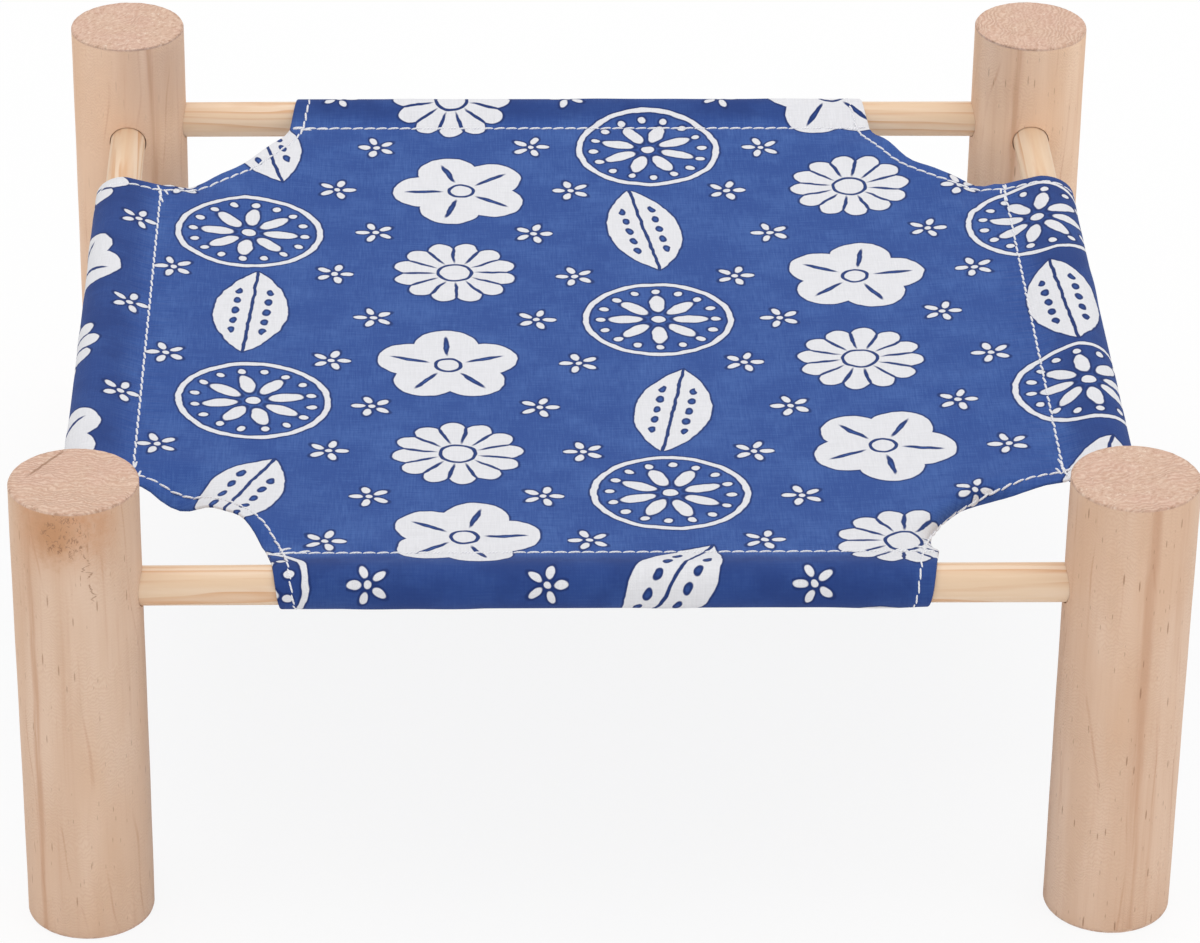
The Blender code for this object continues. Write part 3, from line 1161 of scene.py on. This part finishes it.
for number, (side, quarters) in enumerate(SIDES.items()):
    ends = seam_half - LINE_MARGIN
    loose = ends - LOOSE_START
    lines = [[(-ends, seam), (ends, seam)]]
    for end in (-1, 1):
        back = end * (ends - TACK_LENGTH)
        swing = TACK_SPREAD * (0.6 + 0.4 * sin(5 * number + 3 * end))
        lines.append([(end * ends, seam + swing), (back, seam - swing)])
        lines.append([(end * loose, seam - swing), (end * (loose - LOOSE_END), seam - 2.4 * swing)])
    sewn = [(along_path(turned(line, quarters), STITCH_PITCH), -STITCH_HEIGHT) for line in lines]
    below = seam_half - HEM_STACK
    under_line = turned([(-below, seam - UNDER_INSET), (below, seam - UNDER_INSET)], quarters)
    sewn.append((along_path(under_line, STITCH_PITCH), layer + STITCH_HEIGHT + UNDER_LIFT))
    sew("seam_thread_" + side, sewn)
for number, quarters in enumerate(SIDES.values()):
    whole = turned(hem_line(), quarters)
    open_part = [spot for spot in whole if max(abs(spot[0]), abs(spot[1])) < seam - ALLOWANCE - MM]
    lines = [(along_path(whole, STITCH_PITCH), -STITCH_HEIGHT)]
    lines.append((along_path(open_part, STITCH_PITCH), layer + STITCH_HEIGHT))
    sew(f"hem_thread_{number + 1}", lines)

# %% [markdown]
# The posts are sawn from one round stick of hardwood, and nothing was done to them after the
# saw: both ends show wavy ridges, and the edges are only just eased. A cylinder is the start.
# Its edges are bevelled and its two ends are inset ring by ring, so that they have points for
# the ridges.

# %% Saw a post
POST_SIDES = 96
END_RING = 0.62 * MM
END_RINGS = 22
EASED_EDGE = 0.5 * MM
RIDGE_PITCH = 2.3 * MM
RIDGE_HEIGHT = 0.07 * MM
TOOTH_PITCH = 0.9 * MM
TOOTH_HEIGHT = 0.05 * MM


def select_faces(piece, test):
    """Selects the faces that pass a test, in edit mode."""
    mesh = bmesh.from_edit_mesh(piece.data)
    for face in mesh.faces:
        face.select_set(test(face))
    mesh.select_flush_mode()
    bmesh.update_edit_mesh(piece.data)


def ridged(x, y, post):
    """How far the saw's ridges and its teeth's marks stand out of a sawn end, at a place on it."""
    turn = 0.35 + 0.8 * post
    across = x * cos(turn) + y * sin(turn)
    along = y * cos(turn) - x * sin(turn)
    ridge = sin(2 * pi * (across / RIDGE_PITCH + 0.5 * sin(along / (5 * MM))))
    teeth = sin(2 * pi * across / TOOTH_PITCH + 4 * sin(along / (3 * MM)))
    return RIDGE_HEIGHT * ridge + TOOTH_HEIGHT * teeth


def sawn_cylinder(name):
    """A cylinder with eased edges, whose ends are made of rings."""
    deselect_all()
    bpy.ops.mesh.primitive_cylinder_add(
        vertices=POST_SIDES, radius=post_radius, depth=post_height, location=(0, 0, post_height / 2)
    )
    piece = bpy.context.object
    piece.name = name
    bpy.ops.object.transform_apply(location=True)
    bpy.ops.object.mode_set(mode="EDIT")
    bpy.ops.mesh.select_mode(type="FACE")
    select_faces(piece, lambda face: abs(face.normal.z) > 0.5)
    bpy.ops.mesh.bevel(offset=EASED_EDGE, segments=2, affect="EDGES")
    for _ in range(END_RINGS):
        select_faces(piece, lambda face: len(face.verts) == POST_SIDES)
        bpy.ops.mesh.inset(thickness=END_RING, use_boundary=True, use_individual=True)
    bpy.ops.object.mode_set(mode="OBJECT")
    return piece


print(f"each sawn end has {END_RINGS} rings")

# %% [markdown]
# Each post has two blind sockets, bored a hair wider than the rails. Both face the middle of
# the bed, at right angles, and stop short of each other. A cylinder stands for the drill, and
# a Boolean takes it out of the post.

# %% Bore the sockets
SOCKET_SIDES = 48
SOCKET_CLEARANCE = 0.25 * MM
DRILL_START = 5 * MM


def bore_sockets(piece, place):
    """Cuts the two blind sockets, which face the middle of the bed."""
    toward = [(-1 if place[0] > 0 else 1, 0), (0, -1 if place[1] > 0 else 1)]
    length = post_radius + DRILL_START
    middle = corner - rail_half - SOCKET_CLEARANCE + length / 2
    for step_x, step_y in toward:
        turn = (0, pi / 2, 0) if step_x else (pi / 2, 0, 0)
        bpy.ops.mesh.primitive_cylinder_add(
            vertices=SOCKET_SIDES,
            radius=rail_radius + SOCKET_CLEARANCE,
            depth=length,
            location=(step_x * middle, step_y * middle, rail_height),
            rotation=turn,
        )
        cutter = bpy.context.object
        choose(piece)
        socket = piece.modifiers.new("socket", "BOOLEAN")
        socket.operation = "DIFFERENCE"
        socket.solver = "EXACT"
        socket.object = cutter
        bpy.ops.object.modifier_apply(modifier=socket.name)
        bpy.data.objects.remove(cutter)


print(f"sockets {2000 * (rail_radius + SOCKET_CLEARANCE):.1f} mm wide")

# %% [markdown]
# The wall of a post is cut into rows, for the slight unevenness of wood that has dried, and the
# ridges are raised on its ends, lower on the foot than on the top. The foot is kept flat on the
# floor, and the sockets are bored before the post goes to its corner.

# %% Turn the posts
WALL_ROWS = 40
RIDGE_FADE = 0.8 * MM
SMOOTH_BELOW = radians(40)


def make_post(name, place, post):
    """A sawn post with two blind sockets for its rails."""
    piece = sawn_cylinder(name)
    cuts = [post_height * row / WALL_ROWS for row in range(1, WALL_ROWS)]
    mesh = cut_rows(piece, cuts, Vector((0, 0, 1)))
    for vert in mesh.verts:
        x, y, z = vert.co
        if z > post_height - EASED_EDGE or z < EASED_EDGE:
            inside = limited((post_radius - hypot(x, y)) / RIDGE_FADE)
            vert.co.z += ridged(x, y, post) * (0.4 + 0.6 * inside) * (1 if z > 0.01 else 0.5)
        else:
            angle = atan2(y, x)
            swell = 0.10 * sin(2 * angle + post) + 0.06 * sin(3 * angle + 40 * z + 2 * post)
            swell += 0.04 * sin(7 * angle + 90 * z) * sin(130 * z + post)
            out = 1 + swell * MM / post_radius
            vert.co.x = x * out
            vert.co.y = y * out
    mesh.to_mesh(piece.data)
    mesh.free()
    for vert in piece.data.vertices:
        vert.co.z = max(0.0, vert.co.z)
    bore_sockets(piece, place)
    piece.data.transform(Matrix.Translation((*place, 0)))
    choose(piece)
    bpy.ops.object.shade_smooth_by_angle(angle=SMOOTH_BELOW)
    return piece


print(f"a post's wall is cut into {WALL_ROWS} rows")

# %% [markdown]
# Unfinished hardwood is nearly one colour, and its detail is fine. First come its lines: long
# thin ones, where the yearly growth leaves the wall at a slant, and the pores, which are short
# dark dashes. Both are laid on the height and on the distance round the post, so that each
# stays thin and upright all the way round.

# %% Draw the year's lines and the pores
YEAR_PITCH = 8.5
PORE_BROWN = (0.330, 0.170, 0.095)


def year_lines(finish, wall, around, z, number):
    """Long thin lines where the yearly growth comes out of the wall at a slant."""
    sway = finish.grain(wall, (0.03, 0.014, 1))
    field = (around + z * (0.10 - 0.07 * number) + sway * 16) / YEAR_PITCH
    off = absolute(field - field.math("ROUND")) * YEAR_PITCH
    strength = finish.patches(wall, (0.12, 0.03, 1), 0.44, 0.68, 3.0)
    return (1 - finish.fade(off, 0.05, 0.45)) * strength * 0.36


def pore_dashes(finish, wall, cell, sparse, half_width):
    """Thin upright dashes, one in some of the cells of a scattered grid."""
    grid = finish.stretch(wall, (1 / cell[0], 1 / cell[1], 1))
    cells = ({"voronoi_dimensions": "2D"}, {"Vector": grid, "Scale": 1.0})
    near = finish.node("TexVoronoi", *cells, "Distance")
    chance, size, _ = finish.split(finish.node("TexVoronoi", *cells, "Color"))
    shown = finish.fade(chance, sparse, sparse + 0.06)
    return (1 - finish.fade(near / (size * 0.9 + 0.35), 0.45 * half_width, half_width)) * shown


print("lines and pores are drawn on the wall")

# %% [markdown]
# The front left post was cut beside a knot. It has left a warm stain under the top edge, with
# small curled fibres in it, and fine checks that zigzag down from it. The stain's place is
# written as its angle round the post and its height in millimetres.

# %% Stain the wood beside the knot
STAIN = {0: (-1.86, 118.5)}
STAIN_WARM = (0.640, 0.345, 0.195)
STAIN_BROWN = (0.560, 0.285, 0.140)


def stained(finish, colour, wall, shift, stain_angle, stain_height):
    """A knot's brown stain near the top of a post, with fine checks below it."""
    x, y, _ = finish.split(finish.vectors("SUBTRACT", wall, shift))
    rough = finish.grain(wall, (0.45, 0.28, 1), 4.0, 0.65)
    off_x, off_y = x - 1000 * post_radius * stain_angle, y - stain_height
    below_top = finish.fade(y, stain_height - 16, stain_height + 4)
    around_it = 1 - finish.fade(absolute(off_x - 3), 8, 17)
    colour = finish.blend(below_top * around_it * (rough * 1.6), colour, STAIN_WARM)
    away = length_of(off_x / 6.5, off_y / 8.5) + (rough - 0.5) * 1.8
    colour = finish.blend((1 - finish.fade(away, 0.10, 1.30)) * 0.90, colour, STAIN_BROWN)
    curl = finish.grain(wall, (0.75, 0.42, 1), 2.0, 0.6, 1.2)
    curls = 1 - finish.fade(absolute(curl - 0.5), 0.015, 0.055)
    patchy = finish.patches(wall, (0.8, 0.5, 1), 0.46, 0.58)
    curled = curls * patchy * (1 - finish.fade(length_of((off_x - 3) / 6.5, off_y / 7.5), 0.7, 1.1))
    colour = finish.blend(curled * 0.85, colour, PORE_BROWN)
    wander = finish.grain(wall, (0.05, 0.30, 1), 3.0, 0.7) - 0.5
    vein = absolute(off_x - 8.6 + wander * 9 + (off_y + 12) * 0.12)
    within = 1 - finish.fade(absolute(off_y + 12), 5.5, 8.0)
    broken = finish.patches(wall, (0.3, 0.6, 1), 0.40, 0.50)
    checks = (1 - finish.fade(vein, 0.08, 0.34)) * within * broken
    return finish.blend(checks * 0.65, colour, PORE_BROWN), checks


print(f"{len(STAIN)} post with a knot's stain")

# %% [markdown]
# On a sawn end the saw's teeth have left wavy ridges, and here and there they tore the fibres
# out into a rough, pink grain with pale tufts. Each post has its own share of torn wood, in
# patches and all over. One has a groove where the saw jumped, written as the direction across
# it and its distance from the middle in millimetres.

# %% Tear the sawn ends
END_GRAIN = (0.690, 0.468, 0.350)
END_DARK = (0.540, 0.315, 0.220)
END_PALE = (0.830, 0.640, 0.510)
END_PINK = (0.690, 0.440, 0.350)
END_TUFTS = (0.950, 0.820, 0.690)
TORN_SHARE = [(0.30, 0.15), (0.60, 0.25), (0.65, 0.35), (0.45, 0.20)]
GROOVED_POST = 0
GROOVE = (0.836, -0.549, 10.7)


def end_grain(finish, x, y, solid, radius, number):
    """The colour and height of a sawn end: the saw's ridges, and fibres that it tore."""
    patches, everywhere = TORN_SHARE[number]
    torn = finish.patches(solid, (0.07, 0.07, 0.07), 0.36, 0.60)
    torn = torn * patches + everywhere
    speckle = finish.noise(solid, 0.85, 4.0, 0.75)
    tufts = finish.grain(solid, (0.55, 0.55, 0.55), 4.0, 0.8)
    turn = 1.45 + 0.5 * number
    across = x * cos(turn) + y * sin(turn)
    bend = finish.noise(solid, 0.13, 3.0, 0.6) * 9
    ridges = ((across + bend) * (2 * pi / 1.3)).math("SINE")
    rings = ((radius + bend) * (2 * pi / 2.6)).math("SINE")
    pinker = finish.fade(finish.noise(solid, 0.09, 2.0), 0.42, 0.62)
    colour = finish.blend(pinker * 0.5, END_GRAIN, END_PINK)
    colour = finish.blend(finish.fade(speckle, 0.52, 0.68) * torn, colour, END_DARK)
    colour = finish.blend(finish.fade(speckle, 0.49, 0.34) * torn, colour, END_PALE)
    ridge_strength = 0.62 - torn * 0.5
    colour = finish.blend(finish.fade(ridges, 0.2, 1.0) * ridge_strength, colour, END_DARK)
    colour = finish.blend(finish.fade(ridges, -0.3, -1.0) * ridge_strength * 0.8, colour, END_PALE)
    colour = finish.blend(finish.fade(rings, 0.5, 1.0) * 0.12, colour, END_DARK)
    colour = finish.blend(finish.fade(tufts, 0.62, 0.72) * torn * 0.4, colour, PORE_BROWN)
    colour = finish.blend(finish.fade(tufts, 0.40, 0.31) * torn * 0.9, colour, END_TUFTS)
    edge = 1000 * post_radius
    rim = finish.fade(radius, edge - 1.2, edge - 0.5)
    chipped = finish.fade(finish.noise(solid, 0.5, 3.0, 0.7), 0.50, 0.65)
    colour = finish.blend(rim * chipped * 0.45, colour, PORE_BROWN)
    height = ridges * ridge_strength * 0.30 + (speckle + tufts) * 0.50 * torn
    if number == GROOVED_POST:
        groove = absolute(x * GROOVE[0] + y * GROOVE[1] + GROOVE[2] + (bend - 4.5) * 0.10)
        lengthwise = y * GROOVE[0] - x * GROOVE[1]
        within = finish.fade(lengthwise, -6.5, -1.5) * (1 - finish.fade(lengthwise, 8.5, 12))
        cut = (1 - finish.fade(groove, 0.10, 0.48)) * within
        colour = finish.blend(cut * 0.70, colour, PORE_BROWN)
        height = height - cut * 0.5
    return colour, height


print(f"{2 * len(TORN_SHARE)} sawn ends")

# %% [markdown]
# The whole finish is built up as the wood is: two shades of hardwood in broad patches, warm
# and pink streaks along the grain, one stronger streak, the fine chatter marks of the lathe,
# and then the lines, pores and stain. The sawn end takes over at the eased edge. Every post
# gets its own shift of the pattern, its own tint, and its streak at an angle of its own. The
# tints are painted light and shade: they brighten the two rear posts, which the sling keeps
# light from, and darken the front ones a little, the front left one most.

# %% Grow the hardwood
HARDWOOD = (0.735, 0.515, 0.370)
PALE_HARDWOOD = (0.800, 0.590, 0.445)
PINK_HARDWOOD = (0.660, 0.415, 0.280)
WARM_HARDWOOD = (0.720, 0.455, 0.285)
STREAK_BROWN = (0.610, 0.365, 0.235)
# Painted light and shade: these tints brighten the rear posts and darken the front ones.
POST_LIGHT_AND_SHADE_TINTS = [(0.965, 0.965, 0.970), (0.985, 0.970, 0.965), (1.100, 1.090, 1.080), (1.130, 1.120, 1.090)]
PORES_SHOWN = [0.8, 1.0, 0.25, 0.7]
STREAKS = {0: (-2.3, 0.10), 1: (-1.36, 0.16), 2: (-1.1, 0.12), 3: (-1.9, 0.12)}


def hardwood(name, place, number):
    """Sawn, unfinished hardwood for the post that stands at a place."""
    finish = Finish(name)
    local = finish.node("TexCoord", {}, {}, "Object")
    centred = finish.stretch(local, (1000, 1000, 1000), shift=(-1000 * place[0], -1000 * place[1], 0))
    x, y, z = finish.split(centred)
    radius = length_of(x, y)
    angle = y.math("ARCTAN2", x)
    around = angle * (1000 * post_radius)
    shift = (37.0 * number, 11.0 * number, 53.0 * number)
    wall = finish.node("CombineXYZ", {}, (around, z, 0))
    wall = finish.vectors("ADD", wall, shift)
    solid = finish.vectors("ADD", centred, shift)

    broad = finish.patches(solid, (0.10, 0.10, 0.012), 0.38, 0.64, 3.0)
    streaks = finish.grain(solid, (0.55, 0.55, 0.018), 4.0, 0.6)
    fine = finish.grain(solid, (2.6, 2.6, 0.07), 3.0, 0.65)
    colour = finish.blend(broad, HARDWOOD, PALE_HARDWOOD)
    warm = finish.patches(solid, (0.055, 0.055, 0.016), 0.42, 0.66, 3.0)
    colour = finish.blend(warm * 0.40, colour, WARM_HARDWOOD)
    colour = finish.blend(finish.fade(streaks, 0.52, 0.78) * 0.5, colour, PINK_HARDWOOD)
    colour = finish.blend(finish.fade(fine, 0.50, 0.85) * 0.35, colour, PINK_HARDWOOD)
    streak_angle, streak_width = STREAKS[number]
    sway = finish.grain(wall, (0.05, 0.03, 1)) - 0.5
    off_streak = absolute(angle - streak_angle + sway * 0.25)
    streak = (1 - finish.fade(off_streak, 0.02, streak_width)) * finish.fade(streaks, 0.30, 0.60)
    colour = finish.blend(streak * 0.85, colour, STREAK_BROWN)

    chatter_sway = finish.grain(wall, (0.20, 0.07, 1), 3.0, 0.6)
    chatter = ((z + chatter_sway * 11) * (2 * pi / 1.05)).math("SINE")
    chattered = finish.patches(wall, (0.07, 0.05, 1), 0.38, 0.62)
    chatter_shade = chatter * (chattered * 0.85 + 0.15)
    colour = finish.blend(chatter_shade * 0.24 + 0.12, colour, PINK_HARDWOOD)

    pores = pore_dashes(finish, wall, (2.1, 17.0), 0.74, 0.115) * 0.70 * PORES_SHOWN[number]
    specks = pore_dashes(finish, wall, (1.1, 6.0), 0.80, 0.15) * 0.45 * PORES_SHOWN[number]
    lines = year_lines(finish, wall, around, z, number)
    colour = finish.blend(lines, colour, PINK_HARDWOOD, "MULTIPLY")
    colour = finish.blend(pores.math("MAXIMUM", specks), colour, PORE_BROWN)
    if number in STAIN:
        colour, checks = stained(finish, colour, wall, shift, *STAIN[number])
    else:
        checks = 0

    end_colour, end_height = end_grain(finish, x, y, solid, radius, number)
    half_height = 500 * post_height
    on_end = finish.fade(absolute(z - half_height), half_height - 0.9, half_height - 0.45)
    # The post's tint: painted light on the rear posts, painted shade on the front ones.
    colour = finish.blend(1.0, colour, POST_LIGHT_AND_SHADE_TINTS[number], "MULTIPLY")
    colour = finish.blend(on_end, colour, end_colour)
    wall_height = fine * 0.10 + chatter_shade * 0.05 - pores * 0.12 - checks * 0.2
    height = wall_height + (end_height - wall_height) * on_end
    finish.coat(colour, height, 0.6, {"Roughness": 0.72, "Specular IOR Level": 0.30})
    return finish


POSTS = {
    "front_left": (-corner, -corner),
    "front_right": (corner, -corner),
    "rear_left": (-corner, corner),
    "rear_right": (corner, corner),
}
for number, (post_name, place) in enumerate(POSTS.items()):
    post = make_post("post_" + post_name, place, number)
    hardwood("sawn hardwood " + post_name, place, number).wear(post)
    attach(post, "root")
    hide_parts("leg_" + post_name)
print(f"{len(POSTS)} posts of {len(post.data.polygons)} faces")

# %% [markdown]
# The rails are thin dowels of a paler softwood, sanded but not quite straight or round. Each
# is a cylinder cut into rows, with its ends eased, and bent by a fraction of a millimetre.

# %% Make the rails
RAIL_SIDES = 48
RAIL_ROWS = 60
RAIL_BOW = 0.15 * MM


def make_rail(name, turn, place, number):
    """A dowel from one post to the next."""
    deselect_all()
    bpy.ops.mesh.primitive_cylinder_add(
        vertices=RAIL_SIDES, radius=rail_radius, depth=2 * rail_half, rotation=(0, pi / 2, 0)
    )
    piece = bpy.context.object
    piece.name = name
    bpy.ops.object.transform_apply(rotation=True)
    bpy.ops.object.mode_set(mode="EDIT")
    bpy.ops.mesh.select_mode(type="FACE")
    select_faces(piece, lambda face: abs(face.normal.x) > 0.5)
    bpy.ops.mesh.bevel(offset=EASED_EDGE, segments=3, affect="EDGES")
    bpy.ops.object.mode_set(mode="OBJECT")
    cuts = [rail_half * (2 * row / RAIL_ROWS - 1) for row in range(1, RAIL_ROWS)]
    mesh = cut_rows(piece, cuts, Vector((1, 0, 0)))
    for vert in mesh.verts:
        x, y, z = vert.co
        held = 1 - (x / rail_half) ** 2
        angle = atan2(z, y)
        out = 1 + 0.008 * sin(2 * angle + 30 * x + number) + 0.005 * sin(5 * angle + 60 * x)
        bow = RAIL_BOW * held
        vert.co = (x, y * out + bow * cos(number), z * out + bow * sin(2.0 * number))
    mesh.to_mesh(piece.data)
    mesh.free()
    piece.data.transform(Matrix.Translation(place) @ Matrix.Rotation(turn, 4, "Z"))
    choose(piece)
    bpy.ops.object.shade_smooth_by_angle(angle=SMOOTH_BELOW)
    return piece


print(f"a dowel is cut into {RAIL_ROWS} rows")

# %% [markdown]
# Softwood grows a pale layer and a thin orange layer each year. A dowel cut from a board
# shows them as fine lines along its length that drift slowly across it. So the finish is made
# from flat layers stacked across the rail, tilted by a hair so that the lines run out.

# %% Grow the softwood
SOFTWOOD = (0.795, 0.580, 0.395)
PALE_SOFTWOOD = (0.840, 0.645, 0.475)
ORANGE_SOFTWOOD = (0.680, 0.380, 0.200)
LAYER_PITCH = 2.7


def softwood(name, along_x, number):
    """Smooth, pale softwood whose grain runs along a rail."""
    finish = Finish(name)
    local = finish.node("TexCoord", {}, {}, "Object")
    turn = 0 if along_x else -pi / 2
    lengthwise = finish.stretch(local, (1000, 1000, 1000), turn=(0, 0, turn))
    lengthwise = finish.vectors("ADD", lengthwise, (41.0 * number, 0, 17.0 * number))
    along, side, z = finish.split(lengthwise)
    drift = finish.grain(lengthwise, (0.014, 0.17, 0.17)) * 7
    tilt = 0.5 + 0.45 * number
    stack = side * cos(tilt) + z * sin(tilt) + along * 0.006 + drift
    phase = stack / LAYER_PITCH
    within = phase - phase.math("FLOOR")
    late = finish.fade(within, 0.45, 0.93) * (1 - finish.fade(within, 0.94, 1.0))
    uneven = finish.grain(lengthwise, (0.02, 0.4, 0.4), 3.0)
    fibres = finish.grain(lengthwise, (0.05, 3.2, 3.2), 3.0, 0.65)
    colour = finish.blend(finish.fade(uneven, 0.35, 0.65), SOFTWOOD, PALE_SOFTWOOD)
    late = late * finish.fade(uneven, 0.30, 0.62)
    colour = finish.blend(late * 0.85, colour, ORANGE_SOFTWOOD)
    colour = finish.blend(finish.fade(fibres, 0.55, 0.85) * 0.22, colour, ORANGE_SOFTWOOD)
    resin = finish.patches(lengthwise, (0.045, 0.22, 0.22), 0.60, 0.76)
    colour = finish.blend(resin * 0.35, colour, ORANGE_SOFTWOOD)
    finish.coat(colour, fibres * 0.06 + late * 0.03, 0.6, {"Roughness": 0.55, "Specular IOR Level": 0.35})
    return finish


RAILS = {
    "front": (0, (0, -corner, rail_height)),
    "rear": (0, (0, corner, rail_height)),
    "left": (pi / 2, (-corner, 0, rail_height)),
    "right": (pi / 2, (corner, 0, rail_height)),
}
for number, (rail_name, (turn, place)) in enumerate(RAILS.items()):
    rail = make_rail("dowel_" + rail_name, turn, place, number)
    softwood("pale softwood " + rail_name, turn == 0, number).wear(rail)
    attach(rail, "root")
    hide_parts("rail_" + rail_name)
print(f"{len(RAILS)} rails, {2000 * rail_half:.0f} mm long")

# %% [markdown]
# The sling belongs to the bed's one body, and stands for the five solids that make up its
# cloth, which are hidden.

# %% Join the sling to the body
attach(sling, "root")
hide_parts("sling_panel", "sleeve_front", "sleeve_rear", "sleeve_left", "sleeve_right")
